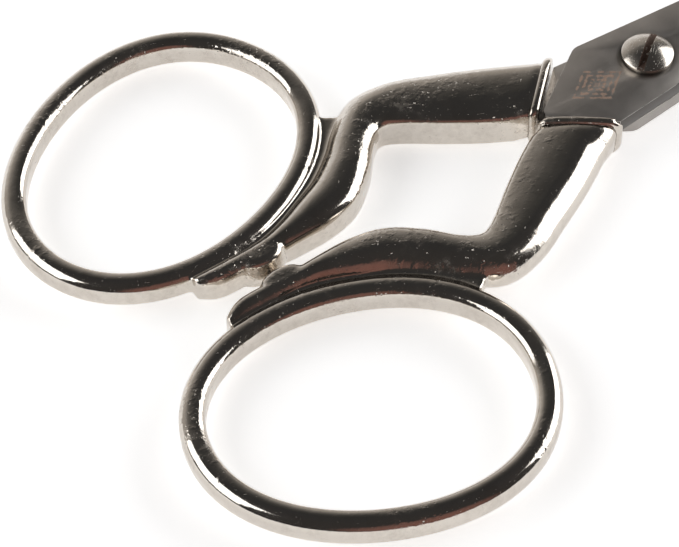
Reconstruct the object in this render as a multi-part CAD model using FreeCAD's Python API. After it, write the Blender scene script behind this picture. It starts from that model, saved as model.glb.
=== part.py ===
"""Two-loop scissors: blackened steel blades in die-cast handles, on a slotted pivot screw.

Millimetres.  The origin is on the pivot axis, in the plane the scissors lie on.
+X runs to the tips, +Z up to the screw's head, and the closed scissors mirror in the plane y = 0.
The rear half has its handle on the +Y side, the front half on the -Y side.
"""

import FreeCAD
import Part
import math
import os

V = FreeCAD.Vector

# ---------------------------------------------------------------- driving sizes
# Pivot screw and its thin lock nut
screw_d = 5.0
head_d = 9.2
head_rim_h = 0.9
head_dome_h = 1.5
slot_w = 1.2
slot_depth = 1.5
slot_angle = 36.0
nut_flats = 8.0
nut_h = 2.7
nut_chamfer = 0.1           # how far the chamfer stands inside the flats at the nut's end
nut_chamfer_angle = 30.0
washer_d = 9.0
washer_t = 0.4

# Blades
blade_t = 2.7
blade_reach = 83.0          # pivot to tip
spine_y = 8.3               # half width of a blade at the pivot
spine_slope = 0.081         # fall of the spine towards the tip
heel_x = -9.4               # where the spine ends and the heel slants away
heel_foot_x = -22.7         # foot of the slanted heel, beside the centreline
heel_foot_y = 0.3
heel_round = 2.5
ricasso_x = 14.0            # end of the full-width part, where the cutting edge begins
edge_step = 1.6             # how far the cutting edge stands back from the ricasso
edge_tip_y = 0.6            # how far a tip crosses the centreline
tip_flat = 1.6              # width left at the tip
point_slope = 5.0           # how many times its width the tip's slanted end is long
bevel_w = 6.0
edge_land = 0.3

# Overshoot of cutting tools, fineness of the loop's curve and of its tangent
beyond = 2.0
loop_points = 32
web_steps = 8
angle_step = 0.001

# Tangs, cast into the handles
tang_len = 22.0
tang_w_root = 7.0
tang_w_end = 4.4
tang_t = 1.6

# Handles
handle_half_t = 4.2         # half thickness at the knee and along the shank
inner_round = 1.3           # corners of the rod and shank, centreline side
outer_round = 2.2           # the same, outer side
tail_half_t = 3.4           # half thickness of the rod's thin tail
bead_w = 1.3
bead_proud = 0.35

# Finger loops: an egg-shaped oval, tilted away from the centreline
loop_x = -81.4
loop_y = 31.8
loop_tilt = 22.7
loop_a = 27.0               # half length of the opening
loop_b = 20.95              # half width of the opening
loop_egg = 0.0128
loop_square = 0.0092
band_w = 4.4
band_half_t = 2.84
band_round = 1.45

# Web between loop and rod, and the stop lug on the rod
web_half_t = 1.6
web_from = -132.0           # degrees round the loop
web_to = -44.0
lug_x = -79.6
lug_half_len = 4.6
lug_half_w = 2.75
lug_round = 1.0

# Rod and shank of the rear handle: inner edge, outer edge and half thickness of each section,
# from the tail through the knee to the oblique collar.
collar_inner = (-23.5, 0.6)
collar_outer = (-13.3, 9.55)
SECTIONS = [
    ((-91.6, 4.0), (-91.9, 6.3), 2.4),
    ((-87.5, 2.2), (-88.0, 5.8), tail_half_t),
    ((-78.0, 2.2), (-78.6, 6.0), tail_half_t),
    ((-72.0, 2.4), (-73.3, 7.2), 3.8),
    ((-66.0, 2.7), (-68.3, 9.6), 4.0),
    ((-60.0, 4.5), (-63.4, 12.0), 4.1),
    ((-54.3, 8.5), (-58.6, 15.6), handle_half_t),
    ((-50.3, 12.5), (-54.4, 19.6), handle_half_t),
    ((-47.0, 14.5), (-48.0, 23.9), handle_half_t),
    ((-43.4, 13.0), (-40.4, 23.1), handle_half_t),
    ((-37.9, 9.0), (-33.0, 19.8), handle_half_t),
    ((-32.0, 5.0), (-25.4, 16.1), handle_half_t),
    ((-27.2, 2.2), (-18.5, 12.4), handle_half_t),
    (collar_inner, collar_outer, handle_half_t),
]
web_sections = SECTIONS[1:9]    # where the web joins the rod
knee = SECTIONS[9]              # what the tang points at

# Clearances
pivot_clear = 0.05          # radial, screw in the front blade
face_clear = 0.1            # between the two blades
head_clear = 0.05           # under the screw's head
washer_clear = 0.15         # radial, round the screw
stop_clear = 0.15           # each stop lug to the centreline

# ---------------------------------------------------------------- derived heights
washer_z = nut_h
rear_z = washer_z + washer_t
front_z = rear_z + blade_t + face_clear
front_top = front_z + blade_t
head_z = front_top + head_clear
mid_z = handle_half_t + bead_proud


# ---------------------------------------------------------------- helpers
def closed_spline(points):
    """Smooth closed wire through the points."""
    curve = Part.BSplineCurve()
    curve.interpolate(Points=points, PeriodicFlag=True)
    return Part.Wire(curve.toShape())


def prism(points, z0, z1):
    """Straight-sided solid on a polygon, from z0 to z1."""
    ring = [V(x, y, z0) for x, y in points]
    face = Part.Face(Part.makePolygon(ring + ring[:1]))
    return face.extrude(V(0, 0, z1 - z0))


def upright_edges(solid, x, y, reach=0.2):
    """Vertical edges of a prism that stand at (x, y)."""
    found = []
    for edge in solid.Edges:
        ends = [v.Point for v in edge.Vertexes]
        near = [math.hypot(p.x - x, p.y - y) < reach for p in ends]
        if len(ends) == 2 and all(near):
            found.append(edge)
    return found


def mirrored(shape):
    """The same shape on the other side of the centreline."""
    return shape.mirror(V(0, 0, 0), V(0, 1, 0))


# ---------------------------------------------------------------- handle
def loop_point(t, offset):
    """Point of the loop's opening at angle t, moved outwards by offset."""
    def oval(a):
        k = 1.0 - loop_egg * math.cos(3 * a) - loop_square * math.cos(4 * a)
        return loop_a * k * math.cos(a), loop_b * k * math.sin(a)

    x, y = oval(t)
    x0, y0 = oval(t - angle_step)
    x1, y1 = oval(t + angle_step)
    length = math.hypot(x1 - x0, y1 - y0)
    x += offset * (y1 - y0) / length
    y -= offset * (x1 - x0) / length
    tilt = math.radians(loop_tilt)
    return (loop_x + x * math.cos(tilt) - y * math.sin(tilt),
            loop_y + x * math.sin(tilt) + y * math.cos(tilt))


def loop_prism(offset):
    """Solid inside the loop's opening moved outwards by offset."""
    ring = [loop_point(2 * math.pi * i / loop_points, offset) for i in range(loop_points)]
    z0 = mid_z - band_half_t
    face = Part.Face(closed_spline([V(x, y, z0) for x, y in ring]))
    return face.extrude(V(0, 0, 2 * band_half_t))


def finger_loop():
    """Band of the finger loop with its four long edges rounded."""
    band = loop_prism(band_w).cut(loop_prism(0.0))
    long_edges = [e for e in band.Edges if e.isClosed()]
    return band.makeFillet(band_round, long_edges)


def section_wire(inner, outer, half_t, proud=0.0):
    """Upright rounded-rectangle section between two edge points, rounder on its outer side."""
    edge = V(inner[0], inner[1], mid_z)
    across = V(outer[0], outer[1], mid_z) - edge
    width = across.Length
    across.normalize()
    s0, s1, top = -proud, width + proud, half_t + proud
    r_in = min(inner_round, 0.4 * width)
    r_out = min(outer_round, 0.4 * width)
    arc_in = r_in * (1 - math.sqrt(0.5))
    arc_out = r_out * (1 - math.sqrt(0.5))

    def at(s, z):
        return edge + across * s + V(0, 0, z)

    curves = [
        Part.LineSegment(at(s0 + r_in, -top), at(s1 - r_out, -top)),
        Part.Arc(at(s1 - r_out, -top), at(s1 - arc_out, arc_out - top), at(s1, r_out - top)),
        Part.LineSegment(at(s1, r_out - top), at(s1, top - r_out)),
        Part.Arc(at(s1, top - r_out), at(s1 - arc_out, top - arc_out), at(s1 - r_out, top)),
        Part.LineSegment(at(s1 - r_out, top), at(s0 + r_in, top)),
        Part.Arc(at(s0 + r_in, top), at(s0 + arc_in, top - arc_in), at(s0, top - r_in)),
        Part.LineSegment(at(s0, top - r_in), at(s0, r_in - top)),
        Part.Arc(at(s0, r_in - top), at(s0 + arc_in, arc_in - top), at(s0 + r_in, -top)),
    ]
    return Part.Wire([curve.toShape() for curve in curves])


def collar_normal():
    """Level direction out of the collar's oblique end."""
    dx = collar_outer[0] - collar_inner[0]
    dy = collar_outer[1] - collar_inner[1]
    length = math.hypot(dx, dy)
    return V(dy / length, -dx / length, 0)


def collar_bead():
    """Raised bead round the collar's end."""
    ring = section_wire(collar_inner, collar_outer, handle_half_t, bead_proud)
    return Part.Face(ring).extrude(collar_normal() * -bead_w)


def rod_and_shank():
    """Rod, knee and shank, lofted through the sections."""
    wires = [section_wire(inner, outer, half_t) for inner, outer, half_t in SECTIONS]
    return Part.makeLoft(wires, True, False)


def web():
    """Thin plate from the middle of the rod to the middle of the loop's band."""
    angles = [web_from + (web_to - web_from) * i / web_steps for i in range(web_steps + 1)]
    loop_side = [loop_point(math.radians(a), band_w / 2) for a in angles]
    rod_side = [((i[0] + o[0]) / 2, (i[1] + o[1]) / 2) for i, o, _ in web_sections]
    return prism(loop_side + rod_side[::-1], mid_z - web_half_t, mid_z + web_half_t)


def stop_lug():
    """Oval lug that meets its twin at the centreline when the scissors are closed."""
    ellipse = Part.Ellipse(V(0, 0, 0), lug_half_len, lug_half_w)
    face = Part.Face(Part.Wire(ellipse.toShape()))
    face.translate(V(lug_x, stop_clear + lug_half_w, mid_z - tail_half_t))
    lug = face.extrude(V(0, 0, 2 * tail_half_t))
    return lug.makeFillet(lug_round, [e for e in lug.Edges if e.isClosed()])


def handle_blank():
    """Rear handle before its tang pocket is taken out."""
    body = rod_and_shank().fuse([collar_bead(), finger_loop(), web(), stop_lug()])
    return body.removeSplitter()


# ---------------------------------------------------------------- blades
def spine_at(x):
    """Half width of a blade, pivot axis to spine."""
    return spine_y - spine_slope * x


def collar_line_at_y(y):
    """Point on the collar's end line at height y."""
    share = (y - collar_inner[1]) / (collar_outer[1] - collar_inner[1])
    return (collar_inner[0] + share * (collar_outer[0] - collar_inner[0]), y)


def ricasso_on_collar():
    """Where a blade's outer side runs into the end of its own collar."""
    run = (collar_outer[0] - collar_inner[0]) / (collar_outer[1] - collar_inner[1])
    x = (collar_inner[0] + run * (spine_y - collar_inner[1])) / (1 + run * spine_slope)
    return (x, spine_at(x))


def blade_plate(z0, far_side):
    """Blade with its spine on the far_side (+1 or -1) and its own collar opposite."""
    tang_start = collar_line_at_y(collar_inner[1] + bead_proud)
    sleeve = ricasso_on_collar()
    point_x = blade_reach - point_slope * tip_flat
    outline = [
        (heel_x, spine_at(heel_x)),
        (heel_foot_x, heel_foot_y),
        (tang_start[0], -tang_start[1]),
        (sleeve[0], -sleeve[1]),
        (ricasso_x, -spine_at(ricasso_x)),
        (ricasso_x + 2 * edge_step, edge_step - spine_at(ricasso_x)),
        (blade_reach, -edge_tip_y),
        (blade_reach - tip_flat, tip_flat - edge_tip_y),
        (point_x, spine_at(point_x)),
    ]
    plate = prism([(x, far_side * y) for x, y in outline], z0, z0 + blade_t)
    heel = upright_edges(plate, heel_x, far_side * spine_at(heel_x))
    return plate.makeFillet(heel_round, heel)


def bevel_cut(z0, far_side, up):
    """Wedge that thins the cutting edge from the outer face; up is +1 when that face is the top."""
    start = V(ricasso_x + 2 * edge_step, -far_side * (spine_at(ricasso_x) - edge_step), 0)
    end = V(blade_reach, -far_side * edge_tip_y, 0)
    along = end - start
    along.normalize()
    inward = V(-along.y, along.x, 0) * far_side
    flat_z = z0 if up > 0 else z0 + blade_t
    rise = (blade_t - edge_land) / bevel_w
    low = flat_z + up * (edge_land - beyond * rise)
    high = flat_z + up * (blade_t + beyond * rise)
    base = start - along * beyond
    corners = [
        base - inward * beyond + V(0, 0, low),
        base + inward * (bevel_w + beyond) + V(0, 0, high),
        base - inward * beyond + V(0, 0, high),
    ]
    wedge = Part.Face(Part.makePolygon(corners + corners[:1]))
    return wedge.extrude(along * (blade_reach - start.x + 3 * beyond))


def tang(z0, far_side):
    """Tapered tongue from the collar's oblique end into the shank."""
    def on_side(x, y):
        return V(x, -far_side * y, z0)

    mouth = (on_side(*collar_inner) + on_side(*collar_outer)) * 0.5
    bend = (on_side(*knee[0]) + on_side(*knee[1])) * 0.5
    along = (bend - mouth).normalize()
    across = V(-along.y, along.x, 0)
    root = mouth - along * tang_w_root
    end = mouth + along * tang_len
    corners = [
        root - across * (tang_w_root / 2),
        root + across * (tang_w_root / 2),
        end + across * (tang_w_end / 2),
        end - across * (tang_w_end / 2),
    ]
    tongue = prism([(p.x, p.y) for p in corners], z0, z0 + tang_t)
    normal = collar_normal()
    normal.y *= -far_side
    in_front = Part.makeBox(2 * tang_len, 2 * tang_len, 2 * blade_t,
                            V(0, -tang_len, -blade_t))
    in_front.Placement = FreeCAD.Placement(mouth, FreeCAD.Rotation(V(1, 0, 0), normal))
    return tongue.cut(in_front)


def pivot_hole(z0, diameter):
    """Cylinder that cuts the pivot hole through a blade."""
    return Part.makeCylinder(diameter / 2, blade_t + 2 * beyond, V(0, 0, z0 - beyond))


def rear_tang():
    return tang(rear_z + (blade_t - tang_t) / 2, -1)


def front_tang():
    return tang(front_z, 1)


def rear_blade():
    """Lower blade, held on the screw."""
    plate = blade_plate(rear_z, -1)
    plate = plate.cut(bevel_cut(rear_z, -1, -1))
    plate = plate.cut(pivot_hole(rear_z, screw_d))
    return plate.fuse(rear_tang()).removeSplitter()


def front_blade():
    """Upper blade, free to turn on the screw."""
    plate = blade_plate(front_z, 1)
    plate = plate.cut(bevel_cut(front_z, 1, 1))
    plate = plate.cut(pivot_hole(front_z, screw_d + 2 * pivot_clear))
    return plate.fuse(front_tang()).removeSplitter()


# ---------------------------------------------------------------- pivot
def pivot_screw():
    """Shank, rim and domed head with a slot across it."""
    shank = Part.makeCylinder(screw_d / 2, head_z, V(0, 0, 0))
    rim = Part.makeCylinder(head_d / 2, head_rim_h, V(0, 0, head_z))
    dome_r = ((head_d / 2) ** 2 + head_dome_h ** 2) / (2 * head_dome_h)
    dome_base = head_z + head_rim_h
    ball = Part.makeSphere(dome_r, V(0, 0, dome_base + head_dome_h - dome_r))
    cap = ball.common(Part.makeCylinder(head_d / 2, head_dome_h, V(0, 0, dome_base)))
    slot = Part.makeBox(2 * head_d, slot_w, slot_depth + beyond,
                        V(-head_d, -slot_w / 2, dome_base + head_dome_h - slot_depth))
    slot.rotate(V(0, 0, 0), V(0, 0, 1), slot_angle)
    return shank.fuse([rim, cap]).removeSplitter().cut(slot)


def lock_nut():
    """Hexagonal nut, chamfered where it rests, threaded on the end of the screw."""
    corner_r = nut_flats / math.sqrt(3)
    turns = [math.radians(60 * i) for i in range(6)]
    nut = prism([(corner_r * math.cos(t), corner_r * math.sin(t)) for t in turns], 0, nut_h)
    foot_r = nut_flats / 2 - nut_chamfer
    cone_h = 2 * nut_h
    spread = cone_h / math.tan(math.radians(nut_chamfer_angle))
    cone = Part.makeCone(foot_r, foot_r + spread, cone_h)
    return nut.common(cone).cut(Part.makeCylinder(screw_d / 2, nut_h, V(0, 0, 0)))


def lock_washer():
    """Flat ring between nut and rear blade."""
    outer = Part.makeCylinder(washer_d / 2, washer_t, V(0, 0, washer_z))
    return outer.cut(Part.makeCylinder(screw_d / 2 + washer_clear, washer_t, V(0, 0, washer_z)))


# ---------------------------------------------------------------- build
def main():
    """Writes one STEP file for each node."""
    os.makedirs("parts", exist_ok=True)
    blank = handle_blank()
    solids = {
        "rear_handle": blank.cut(rear_tang()),
        "front_handle": mirrored(blank).cut(front_tang()),
        "rear_blade": rear_blade(),
        "front_blade": front_blade(),
        "pivot_screw": pivot_screw(),
        "lock_nut": lock_nut(),
        "lock_washer": lock_washer(),
    }
    for name, solid in solids.items():
        solid.exportStep(os.path.join("parts", name + ".step"))


main()
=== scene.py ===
"""Two-loop scissors: nickel-plated die-cast handles, blackened steel blades and a slotted pivot screw.

Run as a script.  Each piece has its own operator, and the panel in the 3D view's sidebar lists them.
Lengths in the tables are millimetres; everything that reaches Blender is in metres.
"""

import math

import bmesh
import bpy
from bpy.props import FloatProperty, FloatVectorProperty, IntProperty, PointerProperty
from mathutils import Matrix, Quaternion, Vector


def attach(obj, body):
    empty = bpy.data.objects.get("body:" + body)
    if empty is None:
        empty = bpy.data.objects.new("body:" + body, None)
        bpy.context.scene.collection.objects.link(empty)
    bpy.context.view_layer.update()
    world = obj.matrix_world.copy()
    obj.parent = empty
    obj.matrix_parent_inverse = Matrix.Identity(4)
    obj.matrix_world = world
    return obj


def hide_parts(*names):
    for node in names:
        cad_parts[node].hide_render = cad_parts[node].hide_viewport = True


bl_info = {
    "name": "Two-loop scissors",
    "version": (1, 0, 0),
    "blender": (4, 5, 0),
    "location": "View3D > Sidebar > Scissors",
    "description": "Builds the scissors' handles, blades, pivot and stage over the packed frame",
    "category": "Object",
}

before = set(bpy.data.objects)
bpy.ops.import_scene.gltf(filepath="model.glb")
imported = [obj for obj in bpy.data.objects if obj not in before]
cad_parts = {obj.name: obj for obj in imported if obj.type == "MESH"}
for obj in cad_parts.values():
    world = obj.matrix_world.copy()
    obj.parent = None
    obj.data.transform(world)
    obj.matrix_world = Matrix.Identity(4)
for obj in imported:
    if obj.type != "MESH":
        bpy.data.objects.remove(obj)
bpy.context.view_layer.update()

MM = 0.001
ORIGIN = (0.0, 0.0, 0.0)

# ---------------------------------------------------------------- shape, millimetres
REAR_Z = 3.1
FRONT_Z = 5.9
BLADE_T = 2.7
HEAD_Z = 8.65
MID_Z = 4.55

# Rod and shank of the +Y handle, from the tail through the knee to the oblique collar: inner edge,
# outer edge, half thickness, inner corner and outer corner of each section.
COLLAR_INNER = (-23.5, 0.6)
# Outer end of each handle's collar, and its outer corner
REAR_COLLAR = ((-12.6, 10.5), 3.4)
FRONT_COLLAR = ((-12.5, 9.0), 2.0)
SECTIONS = (
    ((-91.6, 4.0), (-91.9, 6.3), 2.4, 0.9, 0.9),
    ((-87.5, 2.2), (-88.0, 5.8), 3.4, 1.4, 1.4),
    ((-78.0, 2.2), (-78.6, 6.0), 3.4, 1.7, 1.5),
    ((-72.0, 2.2), (-73.3, 7.2), 3.9, 1.8, 1.9),
    ((-65.8, 2.3), (-68.3, 9.6), 4.2, 2.1, 2.8),
    ((-59.5, 3.9), (-63.4, 12.0), 4.35, 2.2, 3.5),
    ((-53.9, 8.1), (-58.6, 15.6), 4.4, 2.4, 3.8),
    ((-50.2, 12.3), (-54.4, 19.6), 4.3, 2.2, 4.0),
    ((-47.0, 14.5), (-48.0, 23.9), 4.2, 1.6, 4.0),
    ((-43.4, 13.0), (-40.4, 23.1), 4.2, 1.2, 4.0),
    ((-37.9, 9.0), (-33.0, 19.8), 4.2, 1.1, 4.1),
    ((-32.0, 5.0), (-25.4, 16.1), 4.2, 1.1, 4.1),
    ((-27.2, 2.2), (-18.5, 12.4), 4.2, 1.2, 4.0),
)
# How much further out each handle's outer edge stands than in the table, by section
REAR_SHANK_EXTRA = {9: 0.6, 10: 1.0, 11: 1.1, 12: 1.1}
FRONT_SHANK_EXTRA = {12: -0.3}
COLLAR_HALF_T = 4.2
INNER_ROUND = 1.3
CROWN = 0.2                      # how much lower the shank's edges are than its middle
CORNER_STEPS = 6
CORNER_MOST = 0.45               # largest corner, as a share of its section's width
FLAT_STEPS = 4
RINGS_BETWEEN = 4                # rings from one section to the next
KNEE_FROM, KNEE_TO = 1, 9        # sections between which the web joins the rod
SHANK_RUN = (-0.896, 0.443)      # way the shank runs back from the collar

# Bead round the collar: how far back from the end and how proud, ring by ring
BEAD = ((0.0, -1.2), (0.0, -0.15), (0.1, 0.1), (0.3, 0.27), (0.6, 0.35), (1.0, 0.35), (1.3, 0.25),
        (1.5, 0.06), (1.6, -0.3), (1.6, -1.2))
# Groove behind the bead, on the shank itself, and how fast the outer corner grows away from it
GROOVE = ((3.0, 0.0), (2.4, -0.03), (2.0, -0.1), (1.7, -0.18), (1.1, -0.22), (0.15, -0.22))
GROOVE_CORNER_GROWTH = 0.2

# Finger loop: an egg-shaped oval, tilted away from the centreline
LOOP_CENTRE = (-81.4, 31.8)
LOOP_TILT = math.radians(22.7)
LOOP_A = 27.0
LOOP_B = 20.95
LOOP_EGG = 0.0128
LOOP_SQUARE = 0.0092
LOOP_STATIONS = 120
WEB_FROM = math.radians(-132.0)
WEB_TO = math.radians(-44.0)
WEB_HALF_T = 1.6
WEB_STEPS = 16

# Stop lug, an oval with drafted sides
LUG_CENTRE = (-79.6, 3.0)
LUG_HALF = (4.6, 2.85)
LUG_HALF_T = 3.35
LUG_DRAFT = 1.9
LUG_ROUND = 1.4
LUG_SIDES = 32

# Blade outline with its spine on +Y, from the heel round the collar to the edge and the tip
SPINE_Y = 8.3
SPINE_SLOPE = 0.081
HEEL_X = -9.4
HEEL_SEGMENTS = 8
HEEL_FOOT = (-22.7, 0.3)
COLLAR_FOOT = (-23.1, -0.95)
COLLAR_END_X = -13.4
RICASSO_X = 14.0
EDGE_STEP = 1.6
EDGE_START_X = RICASSO_X + 2 * EDGE_STEP
EDGE_TIP_Y = 0.6
TIP_X = 83.0
TIP_FLAT = 1.6
TIP_SHOULDER_X = TIP_X - 5 * TIP_FLAT
EDGE_LAND = 0.3
BEVEL_W = 6.0
BORE_R = 2.55

# Turned pieces, and the worn edges of screw, nut and washer
LATHE_STEPS = 96
WELD = 0.002
DOME_STEPS = 14
SCREW_ARRIS = 0.15
SCREW_SHARP = 30.0               # degrees from which an edge of the screw counts as sharp
NUT_ARRIS = 0.1
WASHER_ARRIS = 0.06
WASHER_CLEAR = 0.15              # radial, round the screw
CHAMFER_INSET = 0.1
CHAMFER_RISE = 0.577             # tangent of the nut's chamfer angle
# Room given to the slot's faces: how far below the crown, how far past the width, share of the depth
SLOT_SUNK = 0.2
SLOT_SLACK = 0.02
SLOT_REACH = 1.1

# Where the blades' finish and painted shade change: pairs of lengths between which one look fades into
# another
SCREW_SHADOW_RING = (4.7, 5.5)                                # painted shadow ring round the screw head, radii
UPPER_SIDES = (FRONT_Z - 0.1, FRONT_Z - 0.05)        # painted shade on the blades' upright sides, deepest on the upper blade, heights
GAP_FOOT = (FRONT_Z - 0.06, FRONT_Z - 0.04)          # painted shade in the gap between the blades, heights
GAP_HEAD = (FRONT_Z + 0.5, FRONT_Z + 0.6)
MARK_TOP = (FRONT_Z + BLADE_T - 0.15, FRONT_Z + BLADE_T - 0.1)
PAINTED_SHADE_SHARE = 0.2                                      # share of the steel's colour left in the painted shade of sides, screw ring and gap

# Etched lozenge: its middle, half size, the spread of its sides, its rings and strokes
MARK_CENTRE = (-11.4, -0.3)
MARK_RADIUS = 4.8
MARK_EDGE = (MARK_RADIUS - 0.2, MARK_RADIUS)
MARK_SPREAD = (0.85, 1.15)
MARK_RING = 1.35
MARK_STROKES = 10.0


# ---------------------------------------------------------------- settings
def linear(code):
    """Linear colour with alpha from a hex sRGB code."""
    channels = []
    for start in (0, 2, 4):
        value = int(code[start:start + 2], 16) / 255
        channels.append(value / 12.92 if value <= 0.04045 else ((value + 0.055) / 1.055) ** 2.4)
    return (*channels, 1.0)


def length_property(name, description, default, least=0.0001):
    """Length setting: its default in millimetres, its least value in metres."""
    return FloatProperty(name=name, description=description, default=default * MM, min=least,
                         unit="LENGTH", subtype="DISTANCE")


def colour_property(name, description, code):
    """Colour setting with a hex sRGB default."""
    return FloatVectorProperty(name=name, description=description, default=linear(code), size=4,
                               min=0.0, max=1.0, subtype="COLOR")


class ScissorsHandleSettings(bpy.types.PropertyGroup):
    """Sizes of the cast handles"""

    band_width: length_property(
        "Band width", "Width of the finger loop's band, seen from above", 4.4, least=0.001)
    band_half_thickness: length_property(
        "Band half thickness", "Half the height of the finger loop's band", 2.84, least=0.001)
    band_round_inside: length_property(
        "Inner rounding", "Corner radius of the finger loop's band towards the fingers", 1.4)
    band_round_outside: length_property(
        "Outer rounding", "Corner radius of the finger loop's band on its outer side", 1.95)
    voxel: length_property("Casting detail", "Cell size with which the cast forms flow into each other", 0.29)
    flow: IntProperty(
        name="Casting softness", description="Smoothing passes that round the cast fillets",
        default=11, min=0, max=60)


class ScissorsBladeSettings(bpy.types.PropertyGroup):
    """Sizes of the blades' worn edges and heels"""

    arris: length_property("Arris", "Width of the worn edge between a blade's faces", 0.26, least=0.00001)
    heel_round: length_property("Heel rounding", "Radius where a blade's spine turns into its heel", 2.5)


class ScissorsPivotSettings(bpy.types.PropertyGroup):
    """Sizes of the screw, the nut and the washer"""

    screw_diameter: length_property("Screw diameter", "Diameter of the screw's shank", 5.0, least=0.001)
    head_diameter: length_property("Head diameter", "Diameter of the screw's head", 9.2, least=0.001)
    rim_height: length_property("Rim height", "Straight side of the screw's head", 0.9)
    dome_height: length_property("Dome height", "Crown of the screw's head above its rim", 1.5)
    slot_width: length_property("Slot width", "Width of the screwdriver slot", 1.2)
    slot_depth: length_property("Slot depth", "Depth of the screwdriver slot below the crown", 1.5)
    slot_angle: FloatProperty(
        name="Slot angle", description="Turn of the slot from the blades' direction",
        default=math.radians(36.0), unit="ROTATION", subtype="ANGLE")
    nut_flats: length_property("Nut across flats", "Width of the lock nut across its flats", 8.0, least=0.001)
    nut_height: length_property("Nut height", "Height of the lock nut", 2.7)
    washer_diameter: length_property(
        "Washer diameter", "Outside diameter of the lock washer", 9.0, least=0.001)
    washer_thickness: length_property("Washer thickness", "Thickness of the lock washer", 0.4)


class ScissorsFinishSettings(bpy.types.PropertyGroup):
    """Colours of the metals"""

    nickel: colour_property("Nickel", "Clean nickel plate on the handles", "d2cbc2")
    tarnish: colour_property("Tarnish", "Handled, slightly browned nickel plate", "c3bbb1")
    steel: colour_property("Blackened steel", "Dark oxide finish of the blades", "ccc6c0")
    etch: colour_property("Etched mark", "Brownish etched mark on the upper blade", "bda392")
    zinc: colour_property("Zinc", "Dull zinc plate of the nut and washer", "b4b6b8")


class ScissorsStageSettings(bpy.types.PropertyGroup):
    """Floor, light and camera"""

    floor: colour_property("Floor", "Colour of the plain floor", "fafafa")
    floor_glow: FloatProperty(
        name="Floor glow", description="Light the white floor gives off by itself",
        default=0.58, min=0.0)
    room: FloatProperty(
        name="Room light", description="Brightness of the dim room above the lights",
        default=1.0, min=0.0)
    left: FloatProperty(
        name="Left light", description="Power of the soft light beyond the finger loops",
        default=5.0, min=0.0, unit="POWER")
    right: FloatProperty(
        name="Right light", description="Power of the soft light at the tip side",
        default=6.0, min=0.0, unit="POWER")
    lens: FloatProperty(
        name="Lens", description="Focal length of the camera on a 36 mm sensor, in millimetres",
        default=146.84, min=1.0)


# ---------------------------------------------------------------- modelling helpers
def mm3(x, y, z):
    """Point given in millimetres."""
    return Vector((x, y, z)) * MM


def start_piece(name):
    """Empty mesh object in edit mode."""
    bpy.ops.object.select_all(action="DESELECT")
    bpy.ops.mesh.primitive_plane_add(size=1)
    piece = bpy.context.object
    piece.name = piece.data.name = name
    bpy.ops.object.mode_set(mode="EDIT")
    bpy.ops.mesh.delete(type="VERT")
    return piece


def pick(test):
    """Select, in edit mode, just the vertices that pass the test, and what lies between them."""
    piece = bpy.context.object
    mesh = bmesh.from_edit_mesh(piece.data)
    bpy.ops.mesh.select_all(action="DESELECT")
    bpy.ops.mesh.select_mode(type="VERT")
    for vert in mesh.verts:
        vert.select = bool(test(vert))
    mesh.select_flush_mode()
    bmesh.update_edit_mesh(piece.data)


def add_face(points):
    """Flat face through the points, left selected."""
    bpy.ops.mesh.select_all(action="DESELECT")
    bpy.ops.mesh.primitive_circle_add(vertices=len(points), radius=1, fill_type="NGON")
    mesh = bmesh.from_edit_mesh(bpy.context.object.data)
    corners = next(face for face in mesh.faces if face.select).verts
    for vert, point in zip(corners, points):
        vert.co = point
    bmesh.update_edit_mesh(bpy.context.object.data)


def add_slab(outline, low, high):
    """Closed straight-sided plate on a plan outline."""
    add_face([Vector((x, y, low / MM)) * MM for x, y in outline])
    bpy.ops.mesh.extrude_region_move(TRANSFORM_OT_translate={"value": (0, 0, high - low)})


def section_outline(width, half_t, round_in, round_out, crown):
    """Rounded rectangle as (distance across, height) pairs; the crown lowers its edges."""
    outline = []
    for side, radius in ((1, round_out), (-1, round_in)):
        radius = min(radius, CORNER_MOST * width)
        flat = width / 2 - radius
        quarter = [(flat * k / FLAT_STEPS, half_t) for k in range(FLAT_STEPS)]
        for k in range(CORNER_STEPS + 1):
            turn = math.pi / 2 * k / CORNER_STEPS
            quarter.append((flat + radius * math.sin(turn), half_t - radius * (1 - math.cos(turn))))
        half = quarter + [(across, -height) for across, height in reversed(quarter[1:])]
        if side > 0:
            outline += half
        else:
            outline += [(-across, -height) for across, height in half]
    return [(across, height * (1 - crown * (2 * across / width) ** 2)) for across, height in outline]


def add_ring(inner, outer, half_t, round_in, round_out, crown):
    """Upright ring between two plan points, without a face."""
    across = (outer - inner).normalized()
    middle = (inner + outer) / 2
    section = section_outline((outer - inner).length, half_t, round_in, round_out, crown)
    add_face([middle + across * s + Vector((0, 0, MID_Z * MM + z)) for s, z in section])
    bpy.ops.mesh.delete(type="ONLY_FACE")


def skin_rings(closed):
    """Turn all the rings of the piece being edited into one closed skin."""
    bpy.ops.mesh.select_all(action="SELECT")
    bpy.ops.mesh.bridge_edge_loops(type="CLOSED" if closed else "SINGLE")
    if not closed:
        bpy.ops.mesh.select_all(action="SELECT")
        bpy.ops.mesh.fill_holes(sides=0)


def finish_piece(piece):
    """Back to object mode, with normals outwards."""
    bpy.ops.mesh.select_all(action="SELECT")
    bpy.ops.mesh.normals_make_consistent(inside=False)
    bpy.ops.object.mode_set(mode="OBJECT")
    return piece


def activate(piece):
    """Make the piece the only selected one and the active one."""
    bpy.ops.object.select_all(action="DESELECT")
    piece.select_set(True)
    bpy.context.view_layer.objects.active = piece


def apply_modifier(piece, kind, **values):
    """Add a modifier, set its values and apply it."""
    activate(piece)
    modifier = piece.modifiers.new(kind.title(), kind)
    for key, value in values.items():
        setattr(modifier, key, value)
    bpy.ops.object.modifier_apply(modifier=modifier.name)


def carve(piece, tool, operation="DIFFERENCE"):
    """Boolean with a tool, which is used up."""
    apply_modifier(piece, "BOOLEAN", operation=operation, object=tool, solver="EXACT")
    bpy.data.objects.remove(tool)


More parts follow.
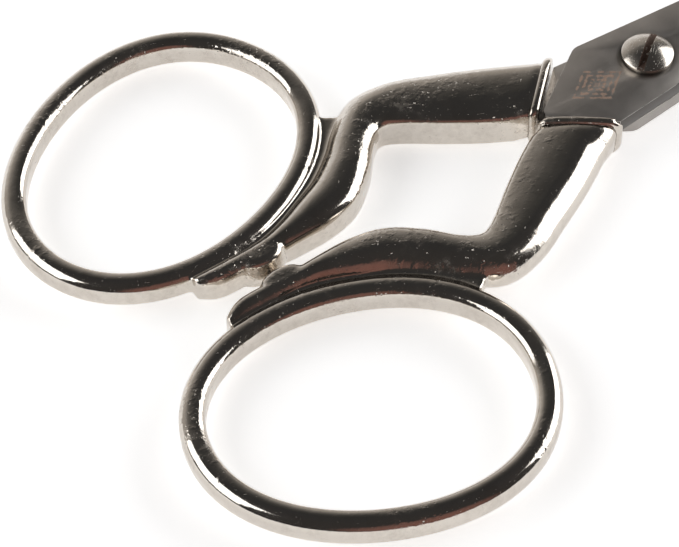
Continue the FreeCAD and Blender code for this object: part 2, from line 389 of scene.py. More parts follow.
def join(pieces):
    """The pieces as one mesh, in the first one."""
    activate(pieces[0])
    for piece in pieces:
        piece.select_set(True)
    bpy.ops.object.join()
    return pieces[0]


def mirror(piece):
    """Turn the piece over to the other side of the centreline."""
    activate(piece)
    bpy.ops.object.mode_set(mode="EDIT")
    bpy.ops.mesh.select_all(action="SELECT")
    bpy.ops.transform.resize(value=(1, -1, 1), center_override=ORIGIN)
    return finish_piece(piece)


def lathe(name, profile):
    """Closed body of revolution from radius and height pairs, in metres."""
    piece = start_piece(name)
    add_face([Vector((radius, 0, height)) for radius, height in profile])
    bpy.ops.mesh.delete(type="ONLY_FACE")
    bpy.ops.mesh.select_all(action="SELECT")
    bpy.ops.mesh.spin(steps=LATHE_STEPS, angle=2 * math.pi, center=ORIGIN, axis=(0, 0, 1),
                      use_auto_merge=True)
    bpy.ops.mesh.select_all(action="SELECT")
    bpy.ops.mesh.remove_doubles(threshold=WELD * MM)
    return finish_piece(piece)


def upright_cylinder(radius, middle, depth, sides=72):
    """Upright cylinder on the pivot axis, with its middle at this height."""
    bpy.ops.object.select_all(action="DESELECT")
    bpy.ops.mesh.primitive_cylinder_add(vertices=sides, radius=radius, depth=depth,
                                        location=(0, 0, middle))
    bpy.ops.object.transform_apply(location=True, rotation=True, scale=True)
    return bpy.context.object


def add_places(piece):
    """Two empty material places, which hand_over fills."""
    for _ in range(2):
        piece.data.materials.append(None)


def soften(piece, width, angle=25.0, finish=-1):
    """Small worn edges on all sharp arrises, in a finish of their own if given, then smooth shading."""
    apply_modifier(piece, "BEVEL", width=width, segments=2, limit_method="ANGLE",
                   angle_limit=math.radians(angle), harden_normals=False, material=finish)
    activate(piece)
    bpy.ops.object.shade_smooth_by_angle(angle=math.radians(angle))


def hand_over(piece, body, node, slot, *materials):
    """Give the piece its finishes and its place in the frame."""
    places = [polygon.material_index for polygon in piece.data.polygons]
    piece.data.materials.clear()
    for material in materials:
        piece.data.materials.append(material)
    if len(materials) > 1:
        piece.data.polygons.foreach_set("material_index", places)
    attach(piece, body)
    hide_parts(node)


# ---------------------------------------------------------------- material helpers
def set_inputs(tree, node, inputs):
    """Set a node's inputs to values, or link them to the sockets given."""
    for key, value in inputs.items():
        if isinstance(value, bpy.types.NodeSocket):
            tree.links.new(value, node.inputs[key])
        else:
            node.inputs[key].default_value = value


def add_node(tree, kind, inputs=None, **settings):
    """Node of one kind with its settings; inputs are values or sockets to link from."""
    node = tree.nodes.new(kind)
    for key, value in settings.items():
        setattr(node, key, value)
    set_inputs(tree, node, inputs or {})
    return node


def new_material(name):
    """New metal as itself, its tree, its shader and the piece's own coordinates."""
    material = bpy.data.materials.new(name)
    material.use_nodes = True
    tree = material.node_tree
    tree.nodes.clear()
    shader = add_node(tree, "ShaderNodeBsdfPrincipled", {"Metallic": 1.0})
    output = add_node(tree, "ShaderNodeOutputMaterial")
    tree.links.new(shader.outputs["BSDF"], output.inputs["Surface"])
    place = add_node(tree, "ShaderNodeTexCoord").outputs["Object"]
    return material, tree, shader, place


def period(length):
    """Texture scale for a pattern that repeats about every so many millimetres."""
    return 1.0 / (length * MM)


def noise(tree, place, length, detail=2.0, rough=0.5, stretch=(1, 1, 1)):
    """Noise with features of about this many millimetres."""
    scaled = add_node(tree, "ShaderNodeMapping", {"Vector": place, "Scale": stretch}).outputs["Vector"]
    return add_node(tree, "ShaderNodeTexNoise",
                    {"Vector": scaled, "Scale": period(length), "Detail": detail,
                     "Roughness": rough}).outputs["Fac"]


def remap(tree, value, low, high, to_low=0.0, to_high=1.0):
    """Value stretched from one range to another and clamped."""
    return add_node(tree, "ShaderNodeMapRange",
                    {"Value": value, "From Min": low, "From Max": high,
                     "To Min": to_low, "To Max": to_high}).outputs["Result"]


def fade(tree, length, ends, to_low=0.0, to_high=1.0):
    """Change from one value to another as a length passes between two ends, in millimetres."""
    return remap(tree, length, ends[0] * MM, ends[1] * MM, to_low, to_high)


def math_node(tree, operation, a, b=0.0):
    """Result of one arithmetic operation on values or sockets."""
    return add_node(tree, "ShaderNodeMath", {0: a, 1: b}, operation=operation).outputs["Value"]


def times(tree, a, b):
    """Product of two values or sockets."""
    return math_node(tree, "MULTIPLY", a, b)


def plus(tree, a, b):
    """Sum of two values or sockets."""
    return math_node(tree, "ADD", a, b)


def height_of(tree, vector):
    """Upright component of a vector."""
    return add_node(tree, "ShaderNodeSeparateXYZ", {"Vector": vector}).outputs["Z"]


def blend(tree, factor, a, b):
    """Colour a turning into colour b."""
    # inputs 0, 6 and 7 and output 2 are the ones that a mix of colours uses
    return add_node(tree, "ShaderNodeMix", {0: factor, 6: a, 7: b}, data_type="RGBA").outputs[2]


def shaded(colour, share):
    """The colour with only this share of its brightness."""
    return tuple(share * channel for channel in colour[:3]) + (1.0,)


def bump(tree, height, distance, below=None):
    """Bump whose full height is this many millimetres."""
    inputs = {"Height": height, "Distance": distance * MM, "Strength": 1.0}
    if below is not None:
        inputs["Normal"] = below
    return add_node(tree, "ShaderNodeBump", inputs).outputs["Normal"]


def scratches(tree, place, turn, length, width, threshold):
    """Sparse fine lines in one direction, as a 0..1 mask."""
    turned = add_node(tree, "ShaderNodeMapping",
                      {"Vector": place, "Rotation": (0, 0, math.radians(turn))}).outputs["Vector"]
    lines = noise(tree, turned, width, detail=1.0, stretch=(width / length, 1, 1))
    return remap(tree, lines, threshold, threshold + 0.03)


# ---------------------------------------------------------------- materials
def nickel_casting(finish):
    """Bright nickel plate over a zinc casting: a mirror with slow waves, pits and handling marks."""
    material, tree, shader, place = new_material("bright_nickel_casting")
    cloud = noise(tree, place, 9.0, detail=4.0, rough=0.6)
    fine_cloud = noise(tree, place, 1.6, detail=4.0, rough=0.7)
    worn = remap(tree, times(tree, cloud, fine_cloud), 0.2, 0.42)
    patch = remap(tree, noise(tree, place, 11.0, detail=3.0, rough=0.6), 0.46, 0.6)
    porous = remap(tree, patch, 0.0, 1.0, 0.1, 1.0)

    # pits in the plate, denser where the casting was porous
    cells = add_node(tree, "ShaderNodeTexVoronoi", {"Vector": place, "Scale": period(0.75)})
    pits = remap(tree, cells.outputs["Distance"], 0.1, 0.26, 1.0, 0.0)
    sparse = remap(tree, noise(tree, place, 0.9, detail=1.0), 0.53, 0.62)
    pits = times(tree, pits, times(tree, sparse, porous))
    marks = math_node(tree, "MAXIMUM", scratches(tree, place, 25.0, 3.0, 0.12, 0.77),
                      scratches(tree, place, -50.0, 2.0, 0.11, 0.78))

    rough = remap(tree, fine_cloud, 0.3, 0.7, 0.07, 0.15)
    rough = plus(tree, rough, times(tree, marks, 0.18))
    rough = plus(tree, rough, times(tree, pits, 0.2))
    rough = plus(tree, rough, times(tree, times(tree, patch, worn), 0.26))

    wave = bump(tree, noise(tree, place, 5.0, detail=1.0), 0.08)
    dents = times(tree, remap(tree, noise(tree, place, 1.3, detail=2.0), 0.5, 0.75), porous)
    dented = bump(tree, dents, 0.05, wave)
    peel = bump(tree, noise(tree, place, 0.5, detail=2.0), 0.0035, dented)
    pitted = bump(tree, pits, -0.06, peel)
    set_inputs(tree, shader, {
        "Base Color": blend(tree, worn, finish.nickel, finish.tarnish),
        "Roughness": rough,
        "Normal": bump(tree, marks, -0.01, pitted),
    })
    return material


def blackened_steel(finish):
    """Dark oxide on ground steel: satin, with fine grinding lines along the blade, painted shade on its
    upright sides and a painted shadow round the screw head.
    """
    material, tree, shader, place = new_material("blackened_ground_steel")
    grain = noise(tree, place, 0.16, detail=2.0, stretch=(0.03, 1, 1))
    coarse = noise(tree, place, 0.7, detail=2.0, stretch=(0.05, 1, 1))
    cloud = noise(tree, place, 6.0, detail=4.0, rough=0.6)
    tone = blend(tree, remap(tree, cloud, 0.3, 0.7), shaded(finish.steel, 0.8), finish.steel)

    # painted shade on the upright sides, most of all on the upper blade, and a painted shadow round the screw
    # head
    painted_shade_tone = shaded(finish.steel, PAINTED_SHADE_SHARE)
    facing = height_of(tree, add_node(tree, "ShaderNodeTexCoord").outputs["Normal"])
    upright = remap(tree, math_node(tree, "ABSOLUTE", facing), 0.3, 0.5, 1.0, 0.0)
    upper = fade(tree, height_of(tree, place), UPPER_SIDES, 0.45, 1.0)
    tone = blend(tree, times(tree, upright, upper), tone, painted_shade_tone)
    flat = add_node(tree, "ShaderNodeVectorMath", {0: place, 1: (1, 1, 0)}, operation="MULTIPLY")
    reach = add_node(tree, "ShaderNodeVectorMath", {0: flat.outputs["Vector"]}, operation="LENGTH")
    # painted shadow of the screw head on the blade round it, fading out past its rim
    screw_shadow = fade(tree, reach.outputs["Value"], SCREW_SHADOW_RING, 0.9, 0.0)
    tone = blend(tree, screw_shadow, tone, painted_shade_tone)

    mark = etched_mark(tree, place)
    nicks = scratches(tree, place, 12.0, 5.0, 0.12, 0.73)
    ground = bump(tree, grain, 0.0025, bump(tree, coarse, 0.006))
    set_inputs(tree, shader, {
        "Base Color": blend(tree, mark, tone, finish.etch),
        "Metallic": remap(tree, mark, 0.0, 1.0, 1.0, 0.35),
        "Roughness": plus(tree, remap(tree, cloud, 0.3, 0.7, 0.34, 0.41),
                          remap(tree, grain, 0.3, 0.7, 0.0, 0.06)),
        "Normal": bump(tree, nicks, -0.005, ground),
    })
    return material


def worn_arris_sheen_and_gap_shade(finish):
    """Bare steel where the oxide has rubbed off a blade's edges, given a near-white colour that paints in
    their highlight: pale thin lines, with painted shade in the gap.
    """
    material, tree, shader, place = new_material("worn_steel_arris")
    rubbed = remap(tree, noise(tree, place, 2.2, detail=3.0, rough=0.6), 0.35, 0.5)
    height = height_of(tree, place)
    # painted shade on the upper blade's lower edge, in the gap between the blades
    gap_shade = times(tree, fade(tree, height, GAP_FOOT), fade(tree, height, GAP_HEAD, 1.0, 0.0))
    # near-white where rubbed: worn bare steel with a painted highlight
    bare_and_sheen = times(tree, rubbed, math_node(tree, "SUBTRACT", 1.0, gap_shade))
    set_inputs(tree, shader, {
        "Base Color": blend(tree, bare_and_sheen, shaded(finish.steel, PAINTED_SHADE_SHARE), linear("f2eee8")),
        "Metallic": remap(tree, bare_and_sheen, 0.0, 1.0, 1.0, 0.35),
        "Roughness": 0.45,
    })
    return material


def etched_mark(tree, place):
    """Mask of a small generic lozenge of broken strokes, beside the pivot on the upper blade."""
    moved = add_node(tree, "ShaderNodeVectorMath", {0: place, 1: mm3(*MARK_CENTRE, 0)},
                     operation="SUBTRACT")
    parts = add_node(tree, "ShaderNodeSeparateXYZ", {"Vector": moved.outputs["Vector"]})
    x, y, z = (parts.outputs[i] for i in range(3))
    reach = plus(tree, times(tree, math_node(tree, "ABSOLUTE", x), MARK_SPREAD[0]),
                 times(tree, math_node(tree, "ABSOLUTE", y), MARK_SPREAD[1]))
    turn = math_node(tree, "ARCTAN2", y, x)
    strokes = math_node(tree, "SINE", times(tree, turn, MARK_STROKES))
    rings = math_node(tree, "SINE", times(tree, reach, 2 * math.pi / (MARK_RING * MM)))
    pattern = plus(tree, times(tree, strokes, 0.8), rings)
    pattern = plus(tree, pattern, remap(tree, noise(tree, place, 0.9), 0.3, 0.7, -1.3, 1.1))
    lines = remap(tree, pattern, 0.1, 0.4)
    inside = fade(tree, reach, MARK_EDGE, 1.0, 0.0)
    return times(tree, times(tree, lines, inside), fade(tree, z, MARK_TOP))


def nickel_screw(finish):
    """Turned nickel head: bright and rounded, scratched by the screwdriver."""
    material, tree, shader, place = new_material("turned_nickel_screw")
    cloud = noise(tree, place, 2.5, detail=4.0, rough=0.65)
    marks = math_node(tree, "MAXIMUM", scratches(tree, place, -36.0, 2.2, 0.12, 0.72),
                      scratches(tree, place, 60.0, 1.4, 0.12, 0.74))
    wave = bump(tree, noise(tree, place, 1.3, detail=2.0), 0.03)
    set_inputs(tree, shader, {
        "Base Color": blend(tree, remap(tree, cloud, 0.42, 0.68), finish.nickel, finish.tarnish),
        "Roughness": plus(tree, remap(tree, cloud, 0.3, 0.7, 0.17, 0.27), times(tree, marks, 0.12)),
        "Normal": bump(tree, marks, -0.012, wave),
    })
    return material


def slot_grime(finish):
    """Old oil and dust in the screw's slot, brown and dull, bright where the driver has rubbed."""
    material, tree, shader, place = new_material("slot_grime")
    rubbed = remap(tree, noise(tree, place, 0.6, detail=3.0), 0.6, 0.66)
    set_inputs(tree, shader, {
        "Base Color": blend(tree, rubbed, linear("6e5b50"), finish.nickel),
        "Metallic": remap(tree, rubbed, 0.0, 1.0, 0.35, 0.9),
        "Roughness": remap(tree, rubbed, 0.0, 1.0, 0.55, 0.3),
    })
    return material


def zinc_nut(finish):
    """Dull zinc plate: pale grey, slightly clouded."""
    material, tree, shader, place = new_material("dull_zinc_plate")
    cloud = noise(tree, place, 1.8, detail=4.0, rough=0.7)
    dull = shaded(finish.zinc, 0.6)
    set_inputs(tree, shader, {
        "Base Color": blend(tree, remap(tree, cloud, 0.35, 0.7), finish.zinc, dull),
        "Roughness": remap(tree, cloud, 0.3, 0.7, 0.3, 0.5),
        "Normal": bump(tree, noise(tree, place, 0.2, detail=1.0), 0.004),
    })
    return material


def material_once(name, maker):
    """The named material, made the first time it is asked for."""
    return bpy.data.materials.get(name) or maker(bpy.context.scene.scissors_finish)


# ---------------------------------------------------------------- handle shapes
def spline(values, step):
    """Point at a fractional index on a smooth curve through the values."""
    last = len(values) - 1
    i = min(int(step), last - 1)
    t = step - i
    p0, p1, p2, p3 = (values[max(0, min(last, i + k))] for k in (-1, 0, 1, 2))
    return 0.5 * (2 * p1 + (p2 - p0) * t + (2 * p0 - 5 * p1 + 4 * p2 - p3) * t * t
                  + (3 * p1 - p0 - 3 * p2 + p3) * t ** 3)


def grown(inner, outer, proud):
    """Edge points moved apart by the same amount."""
    way = (outer - inner).normalized() * proud
    return inner - way, outer + way


def rod_and_shank(extra, collar):
    """Rod, knee and shank as one skin over rings, with the groove behind the collar's bead."""
    piece = start_piece("rod_and_shank")
    inner_edge = [Vector((*s[0], 0)) * MM for s in SECTIONS]
    outer_edge = [grown(inner, Vector((*s[1], 0)) * MM, extra.get(k, 0.0) * MM)[1]
                  for k, (inner, s) in enumerate(zip(inner_edge, SECTIONS))]
    half = [s[2] * MM for s in SECTIONS]
    inner_corner = [s[3] * MM for s in SECTIONS]
    outer_corner = [s[4] * MM for s in SECTIONS]
    for k in range((len(SECTIONS) - 1) * RINGS_BETWEEN + 1):
        at = k / RINGS_BETWEEN
        add_ring(spline(inner_edge, at), spline(outer_edge, at), spline(half, at),
                 spline(inner_corner, at), spline(outer_corner, at), CROWN)
    for back, proud in GROOVE:
        inner, outer = collar_edges(collar[0], back, proud)
        add_ring(inner, outer, (COLLAR_HALF_T + proud) * MM, INNER_ROUND * MM,
                 (collar[1] + GROOVE_CORNER_GROWTH * back) * MM, CROWN)
    skin_rings(closed=False)
    return finish_piece(piece)


def collar_edges(collar_outer, back, proud):
    """Both edges of the collar's oblique section, some way back along the shank."""
    slant = (Vector(collar_outer) - Vector(COLLAR_INNER)).normalized()
    run = Vector(SHANK_RUN)
    lean = abs(run.x * slant.y - run.y * slant.x)
    shift = run * (back / lean)
    inner, outer = (Vector((*(Vector(edge) + shift), 0)) * MM
                    for edge in (COLLAR_INNER, collar_outer))
    return grown(inner, outer, proud * MM)


def collar_bead(collar):
    """Rounded bead round the collar's end."""
    piece = start_piece("bead")
    for back, proud in BEAD:
        inner, outer = collar_edges(collar[0], back, proud)
        add_ring(inner, outer, (COLLAR_HALF_T + proud) * MM, (INNER_ROUND + proud) * MM,
                 (collar[1] + proud) * MM, 0.5 * CROWN)
    skin_rings(closed=False)
    return finish_piece(piece)


def loop_point(t, offset):
    """Point of the loop's opening at angle t, moved outwards by offset millimetres."""
    def oval(a):
        k = 1.0 - LOOP_EGG * math.cos(3 * a) - LOOP_SQUARE * math.cos(4 * a)
        return Vector((LOOP_A * k * math.cos(a), LOOP_B * k * math.sin(a), 0))

    step = 0.001
    tangent = (oval(t + step) - oval(t - step)).normalized()
    point = oval(t) + Vector((tangent.y, -tangent.x, 0)) * offset
    cos, sin = math.cos(LOOP_TILT), math.sin(LOOP_TILT)
    return Vector((LOOP_CENTRE[0] + point.x * cos - point.y * sin,
                   LOOP_CENTRE[1] + point.x * sin + point.y * cos, 0)) * MM


def finger_loop(settings):
    """Band of the finger loop as a closed skin over rings."""
    piece = start_piece("finger_loop")
    width = settings.band_width / MM
    for k in range(LOOP_STATIONS):
        t = 2 * math.pi * k / LOOP_STATIONS
        add_ring(loop_point(t, 0), loop_point(t, width), settings.band_half_thickness,
                 settings.band_round_inside, settings.band_round_outside, 0.5 * CROWN)
    skin_rings(closed=True)
    return finish_piece(piece)


def web(settings):
    """Thin plate between the loop's band and the rod."""
    piece = start_piece("web")
    middle = settings.band_width / MM / 2
    loop_side = [loop_point(WEB_FROM + (WEB_TO - WEB_FROM) * k / WEB_STEPS, middle) / MM
                 for k in range(WEB_STEPS + 1)]
    rod_side = [(Vector(s[0]) + Vector(s[1])) / 2 for s in SECTIONS[KNEE_FROM:KNEE_TO]]
    outline = [(p.x, p.y) for p in loop_side] + [(p.x, p.y) for p in reversed(rod_side)]
    add_slab(outline, (MID_Z - WEB_HALF_T) * MM, (MID_Z + WEB_HALF_T) * MM)
    return finish_piece(piece)


def stop_lug():
    """Oval lug on the rod with drafted sides and rounded rims, meeting its twin at the centreline."""
    piece = start_piece("stop_lug")
    centre = mm3(*LUG_CENTRE, MID_Z)
    quarter = [math.pi / 2 * k / CORNER_STEPS for k in range(CORNER_STEPS + 1)]
    # (inset from the widest outline, height) of each level
    upper = [(0.0, 0.0)]
    upper += [(LUG_DRAFT - LUG_ROUND * math.cos(t), LUG_HALF_T - LUG_ROUND * (1 - math.sin(t)))
              for t in quarter]
    lower = [(inset, -height) for inset, height in reversed(upper[1:])]
    for inset, height in lower + upper:
        length, width = LUG_HALF[0] - inset, LUG_HALF[1] - inset
        add_face([centre + mm3(length * math.cos(t), width * math.sin(t), height)
                  for t in (2 * math.pi * k / LUG_SIDES for k in range(LUG_SIDES))])
        bpy.ops.mesh.delete(type="ONLY_FACE")
    skin_rings(closed=False)
    return finish_piece(piece)


def handle(name, settings, extra, collar):
    """Handle on +Y: cast forms flowed into one another, with a crisp bead at the collar."""
    cast = join([rod_and_shank(extra, collar), finger_loop(settings), web(settings), stop_lug()])
    apply_modifier(cast, "REMESH", mode="VOXEL", voxel_size=settings.voxel, adaptivity=0.0)
    apply_modifier(cast, "SMOOTH", factor=0.5, iterations=settings.flow)
    piece = join([cast, collar_bead(collar)])
    piece.name = piece.data.name = name
    activate(piece)
    bpy.ops.object.shade_smooth()
    return piece


class SCISSORS_OT_handles(bpy.types.Operator):
    """Cast the two handles with their finger loops"""
    bl_idname = "scissors.handles"
    bl_label = "Handles"

    def execute(self, context):
        settings = context.scene.scissors_handle
        rear = handle("rear_handle_cast", settings, REAR_SHANK_EXTRA, REAR_COLLAR)
        front = mirror(handle("front_handle_cast", settings, FRONT_SHANK_EXTRA, FRONT_COLLAR))
        finish = material_once("bright_nickel_casting", nickel_casting)
        hand_over(rear, "rear_half", "rear_handle", "nickel_plated_casting", finish)
        hand_over(front, "front_half", "front_handle", "nickel_plated_casting", finish)
        return {"FINISHED"}


# ---------------------------------------------------------------- blade shapes
def spine_at(x):
    """Distance of a blade's spine from the centreline."""
    return SPINE_Y - SPINE_SLOPE * x


def blade(name, far_side, low, settings):
    """Blade with its spine on the far side (+1 or -1), ground thin along the cutting edge."""
    outline = [
        (HEEL_X, spine_at(HEEL_X)), HEEL_FOOT, COLLAR_FOOT, (COLLAR_END_X, -spine_at(COLLAR_END_X)),
        (RICASSO_X, -spine_at(RICASSO_X)), (EDGE_START_X, EDGE_STEP - spine_at(RICASSO_X)),
        (TIP_X, -EDGE_TIP_Y), (TIP_X - TIP_FLAT, TIP_FLAT - EDGE_TIP_Y),
        (TIP_SHOULDER_X, spine_at(TIP_SHOULDER_X)),
    ]
    piece = start_piece(name)
    add_slab([(x, far_side * y) for x, y in outline], low * MM, (low + BLADE_T) * MM)
    round_heel(far_side, settings.heel_round)
    finish_piece(piece)
    carve(piece, grinding_wedge(far_side, low, upwards=far_side > 0))
    carve(piece, upright_cylinder(BORE_R * MM, (low + BLADE_T / 2) * MM, 2 * BLADE_T * MM))
    add_places(piece)
    soften(piece, settings.arris, finish=1)
    return piece


def round_heel(far_side, radius):
    """Round the corner where the spine of the blade being edited turns into its heel."""
    heel = mm3(HEEL_X, far_side * spine_at(HEEL_X), 0)
    pick(lambda v: (v.co.xy - heel.xy).length < 0.1 * MM)
    slant = math.atan2(spine_at(HEEL_X) - HEEL_FOOT[1], HEEL_X - HEEL_FOOT[0]) + math.atan(SPINE_SLOPE)
    bpy.ops.mesh.bevel(offset=radius * math.tan(slant / 2), affect="EDGES", segments=HEEL_SEGMENTS)


def grinding_wedge(far_side, low, upwards):
    """Wedge that the grinding takes off the outer face along the cutting edge."""
    start = Vector((EDGE_START_X, -far_side * (spine_at(RICASSO_X) - EDGE_STEP), 0))
    end = Vector((TIP_X, -far_side * EDGE_TIP_Y, 0))
    along = (end - start).normalized()
    inward = Vector((-along.y, along.x, 0)) * far_side
    up = 1 if upwards else -1
    flat = low if upwards else low + BLADE_T
    beyond = 2.0
    rise = (BLADE_T - EDGE_LAND) / BEVEL_W
    base = start - along * beyond
    corners = [
        base - inward * beyond + Vector((0, 0, flat + up * (EDGE_LAND - beyond * rise))),
        base + inward * (BEVEL_W + beyond) + Vector((0, 0, flat + up * (BLADE_T + beyond * rise))),
        base - inward * beyond + Vector((0, 0, flat + up * (BLADE_T + beyond * rise))),
    ]
    wedge = start_piece("grinding_wedge")
    add_face([corner * MM for corner in corners])
    run = along * (TIP_X + 3 * beyond - start.x) * MM
    bpy.ops.mesh.extrude_region_move(TRANSFORM_OT_translate={"value": run})
    return finish_piece(wedge)


class SCISSORS_OT_blades(bpy.types.Operator):
    """Grind the two blades"""
    bl_idname = "scissors.blades"
    bl_label = "Blades"

    def execute(self, context):
        settings = context.scene.scissors_blade
        steel = material_once("blackened_ground_steel", blackened_steel)
        # arris finish: worn bare steel with a painted highlight, and painted shade in the gap between the
        # blades
        worn = material_once("worn_steel_arris", worn_arris_sheen_and_gap_shade)
        rear = blade("rear_blade_ground", -1, REAR_Z, settings)
        front = blade("front_blade_ground", 1, FRONT_Z, settings)
        hand_over(rear, "rear_half", "rear_blade", "blackened_steel", steel, worn)
        hand_over(front, "front_half", "front_blade", "blackened_steel", steel, worn)
        return {"FINISHED"}


# ---------------------------------------------------------------- pivot shapes
def head_top(pivot):
    """Height of the middle of the screw head's crown."""
    return HEAD_Z * MM + pivot.rim_height + pivot.dome_height


def crown_height(pivot, reach_squared):
    """Height of the head's spherical crown at a distance from the axis, given as its square."""
    head_r, rise = pivot.head_diameter / 2, pivot.dome_height
    dome_r = (head_r ** 2 + rise ** 2) / (2 * rise)
    return head_top(pivot) - dome_r + math.sqrt(dome_r ** 2 - reach_squared)


def screw_profile(pivot):
    """Half outline of the screw: shank, straight rim and crown."""
    shank_r, head_r, base = pivot.screw_diameter / 2, pivot.head_diameter / 2, HEAD_Z * MM
    crown = []
    for k in range(DOME_STEPS + 1):
        radius = head_r * (1 - k / DOME_STEPS)
        crown.append((radius, crown_height(pivot, radius ** 2)))
    return [(0.0, 0.0), (shank_r, 0.0), (shank_r, base), (head_r, base), *crown]


def slot_cutter(pivot):
    """Block across the screw head, as wide and deep as its slot."""
    bpy.ops.object.select_all(action="DESELECT")
    bpy.ops.mesh.primitive_cube_add(size=1)
    slot = bpy.context.object
    slot.scale = (3 * (pivot.head_diameter / 2), pivot.slot_width, 2 * pivot.slot_depth)
    slot.location = (0, 0, head_top(pivot))
    slot.rotation_euler = (0, 0, pivot.slot_angle)
    bpy.ops.object.transform_apply(location=True, rotation=True, scale=True)
    return slot


def mark_slot(screw, pivot):
    """Put the faces inside the slot in the second material place."""
    side = Vector((-math.sin(pivot.slot_angle), math.cos(pivot.slot_angle), 0))
    half_width = pivot.slot_width / 2 + SLOT_SLACK * MM
    lowest = head_top(pivot) - SLOT_REACH * pivot.slot_depth
    for polygon in screw.data.polygons:
        middle = polygon.center
        sunk = middle.z < crown_height(pivot, middle.xy.length_squared) - SLOT_SUNK * MM
        in_slot = abs(middle.dot(side)) < half_width and middle.z > lowest
        polygon.material_index = int(sunk and in_slot)


class SCISSORS_OT_screw(bpy.types.Operator):
    """Turn the pivot screw and cut its slot"""
    bl_idname = "scissors.screw"
    bl_label = "Pivot screw"

    def execute(self, context):
        pivot = context.scene.scissors_pivot
        screw = lathe("pivot_screw_turned", screw_profile(pivot))
        carve(screw, slot_cutter(pivot))
        add_places(screw)
        soften(screw, SCREW_ARRIS * MM, SCREW_SHARP)
        mark_slot(screw, pivot)
        finish = material_once("turned_nickel_screw", nickel_screw)
        grime = material_once("slot_grime", slot_grime)
        hand_over(screw, "rear_half", "pivot_screw", "nickel_plated_screw", finish, grime)
        return {"FINISHED"}


class SCISSORS_OT_nut(bpy.types.Operator):
    """Form the hexagonal lock nut under the blades"""
    bl_idname = "scissors.nut"
    bl_label = "Lock nut"

    def execute(self, context):
        pivot = context.scene.scissors_pivot
        flats, height = pivot.nut_flats, pivot.nut_height
        nut = upright_cylinder(flats / math.sqrt(3), height / 2, height, sides=6)
        nut.name = nut.data.name = "lock_nut_formed"
        activate(nut)
        bpy.ops.object.mode_set(mode="EDIT")
        bpy.ops.mesh.select_all(action="SELECT")
        bpy.ops.transform.rotate(value=math.radians(30), orient_axis="Z", center_override=ORIGIN)
        finish_piece(nut)
        chamfer = lathe("nut_chamfer", [
            (0, 0), (flats / 2 - CHAMFER_INSET * MM, 0), (flats, (flats / 2) * CHAMFER_RISE),
            (flats, 2 * height), (0, 2 * height)])
        carve(nut, chamfer, "INTERSECT")
        carve(nut, upright_cylinder(pivot.screw_diameter / 2, height / 2, 2 * height))
        soften(nut, NUT_ARRIS * MM)
        zinc = material_once("dull_zinc_plate", zinc_nut)
        hand_over(nut, "rear_half", "lock_nut", "zinc_plated_nut", zinc)
        return {"FINISHED"}


class SCISSORS_OT_washer(bpy.types.Operator):
    """Stamp the lock washer between nut and blade"""
    bl_idname = "scissors.washer"
    bl_label = "Lock washer"

    def execute(self, context):
        pivot = context.scene.scissors_pivot
        outer, inner = pivot.washer_diameter / 2, pivot.screw_diameter / 2 + WASHER_CLEAR * MM
        low, high = pivot.nut_height, pivot.nut_height + pivot.washer_thickness
        washer = lathe("lock_washer_stamped", [(inner, low), (outer, low), (outer, high), (inner, high)])
        soften(washer, WASHER_ARRIS * MM)
        zinc = material_once("dull_zinc_plate", zinc_nut)
        hand_over(washer, "rear_half", "lock_washer", "zinc_plated_nut", zinc)
        return {"FINISHED"}


# ---------------------------------------------------------------- stage
FLOOR_SIZE = 6.0

# Brightness of the room by how far a direction points to the far side (cosine): dark towards
# the camera and overhead, paler and slightly brown low down behind the object
ROOM_FAR = (0.17, 0.96, -0.2)
ROOM_SHADES = (
    (0.0, (0.24, 0.12, 0.1)), (0.04, (0.2, 0.11, 0.095)), (0.085, (0.046, 0.043, 0.042)),
    (0.64, (0.04, 0.04, 0.041)), (0.7, (0.06, 0.059, 0.057)), (0.76, (0.15, 0.143, 0.135)),
    (0.83, (0.34, 0.32, 0.3)), (0.9, (0.5, 0.47, 0.44)), (1.0, (0.62, 0.59, 0.56)),
)

# Soft lights: side, azimuth and elevation in degrees, size in metres
LIGHTS = (("left", 155, 32, (0.9, 0.7)), ("right", -12, 21, (0.9, 0.68)))
LIGHT_DISTANCE = 0.9
LIGHT_TARGET = (-60, 0, 4)

CAMERA_PLACE = (-229.1, -246.9, 367.4)
CAMERA_TARGET = (-70.2, -6.1, 4.55)
CAMERA_ROLL = math.radians(-1.617)
SENSOR_WIDTH = 36.0
CLIP = (0.01, 20.0)


def add_floor(stage):
    """Plain floor that gives off some light of its own."""
    bpy.ops.object.select_all(action="DESELECT")
    bpy.ops.mesh.primitive_plane_add(size=FLOOR_SIZE)
    floor = bpy.context.object
    floor.name = floor.data.name = "floor"
    material, tree, shader, _ = new_material("floor_paper")
    set_inputs(tree, shader, {
        "Metallic": 0.0,
        "Base Color": stage.floor,
        "Roughness": 0.9,
        "Emission Color": stage.floor,
        "Emission Strength": stage.floor_glow,
    })
    floor.data.materials.append(material)


def add_room(scene, stage):
    """Dim room all round, which the metal mirrors."""
    world = bpy.data.worlds.new("dim_room")
    scene.world = world
    world.use_nodes = True
    tree = world.node_tree
    place = add_node(tree, "ShaderNodeTexCoord").outputs["Generated"]
    toward = add_node(tree, "ShaderNodeVectorMath", {0: place, 1: ROOM_FAR}, operation="DOT_PRODUCT")
    ramp = add_node(tree, "ShaderNodeValToRGB", {"Fac": remap(tree, toward.outputs["Value"], -1.0, 1.0)})
    for stop, shade in ROOM_SHADES:
        ramp.color_ramp.elements.new(stop).color = (*shade, 1.0)
    set_inputs(tree, tree.nodes["Background"], {"Color": ramp.outputs["Color"], "Strength": stage.room})


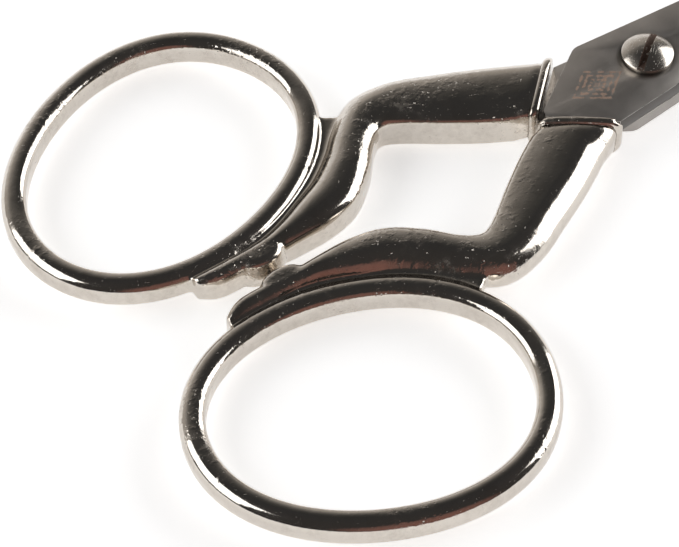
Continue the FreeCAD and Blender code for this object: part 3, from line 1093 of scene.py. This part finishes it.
def add_light(name, azimuth, elevation, size, power):
    """Rectangular soft light that looks at the object's middle."""
    target = mm3(*LIGHT_TARGET)
    way = Vector((math.cos(elevation) * math.cos(azimuth), math.cos(elevation) * math.sin(azimuth),
                  math.sin(elevation)))
    bpy.ops.object.light_add(type="AREA", location=target + way * LIGHT_DISTANCE)
    light = bpy.context.object
    light.name = light.data.name = name
    light.data.shape = "RECTANGLE"
    light.data.size, light.data.size_y = size
    light.data.energy = power
    light.rotation_mode = "QUATERNION"
    light.rotation_quaternion = (-way).to_track_quat("-Z", "Y")


def add_camera(scene, lens):
    """Camera above the finger loops, turned slightly about its own line of sight."""
    bpy.ops.object.camera_add(location=mm3(*CAMERA_PLACE))
    camera = bpy.context.object
    way = mm3(*CAMERA_TARGET) - camera.location
    camera.rotation_mode = "QUATERNION"
    camera.rotation_quaternion = way.to_track_quat("-Z", "Y") @ Quaternion((0, 0, 1), CAMERA_ROLL)
    camera.data.lens = lens
    camera.data.sensor_width = SENSOR_WIDTH
    camera.data.clip_start, camera.data.clip_end = CLIP
    scene.camera = camera


class SCISSORS_OT_stage(bpy.types.Operator):
    """Set out the floor, the soft lights and the camera"""
    bl_idname = "scissors.stage"
    bl_label = "Stage"

    def execute(self, context):
        stage = context.scene.scissors_stage
        add_floor(stage)
        add_room(context.scene, stage)
        for side, azimuth, elevation, size in LIGHTS:
            add_light(f"{side}_light", math.radians(azimuth), math.radians(elevation), size,
                      getattr(stage, side))
        context.scene.view_settings.view_transform = "Standard"
        add_camera(context.scene, stage.lens)
        return {"FINISHED"}


# ---------------------------------------------------------------- panel and run
class SCISSORS_PT_panel(bpy.types.Panel):
    """The scissors' pieces, each with its settings"""
    bl_idname = "SCISSORS_PT_panel"
    bl_label = "Two-loop scissors"
    bl_space_type = "VIEW_3D"
    bl_region_type = "UI"
    bl_category = "Scissors"

    def draw(self, context):
        for group, operators in PANEL:
            box = self.layout.box()
            settings = getattr(context.scene, group)
            for key in settings.__annotations__:
                box.prop(settings, key)
            for operator in operators:
                box.operator(operator)


PANEL = (
    ("scissors_handle", ("scissors.handles",)),
    ("scissors_blade", ("scissors.blades",)),
    ("scissors_pivot", ("scissors.screw", "scissors.nut", "scissors.washer")),
    ("scissors_finish", ()),
    ("scissors_stage", ("scissors.stage",)),
)
GROUPS = {
    "scissors_handle": ScissorsHandleSettings,
    "scissors_blade": ScissorsBladeSettings,
    "scissors_pivot": ScissorsPivotSettings,
    "scissors_finish": ScissorsFinishSettings,
    "scissors_stage": ScissorsStageSettings,
}
OPERATORS = (
    SCISSORS_OT_handles, SCISSORS_OT_blades, SCISSORS_OT_screw, SCISSORS_OT_nut, SCISSORS_OT_washer,
    SCISSORS_OT_stage,
)


def register():
    """Make the settings, the operators and the panel known."""
    for kind in (*GROUPS.values(), *OPERATORS, SCISSORS_PT_panel):
        bpy.utils.register_class(kind)
    for name, kind in GROUPS.items():
        setattr(bpy.types.Scene, name, PointerProperty(type=kind))


def unregister():
    """Take them away again, in the opposite order."""
    for name in GROUPS:
        delattr(bpy.types.Scene, name)
    for kind in (SCISSORS_PT_panel, *reversed(OPERATORS), *reversed(GROUPS.values())):
        bpy.utils.unregister_class(kind)


def main():
    """Build every piece and the stage."""
    register()
    bpy.ops.scissors.handles()
    bpy.ops.scissors.blades()
    bpy.ops.scissors.screw()
    bpy.ops.scissors.nut()
    bpy.ops.scissors.washer()
    bpy.ops.scissors.stage()


if __name__ == "__main__":
    main()
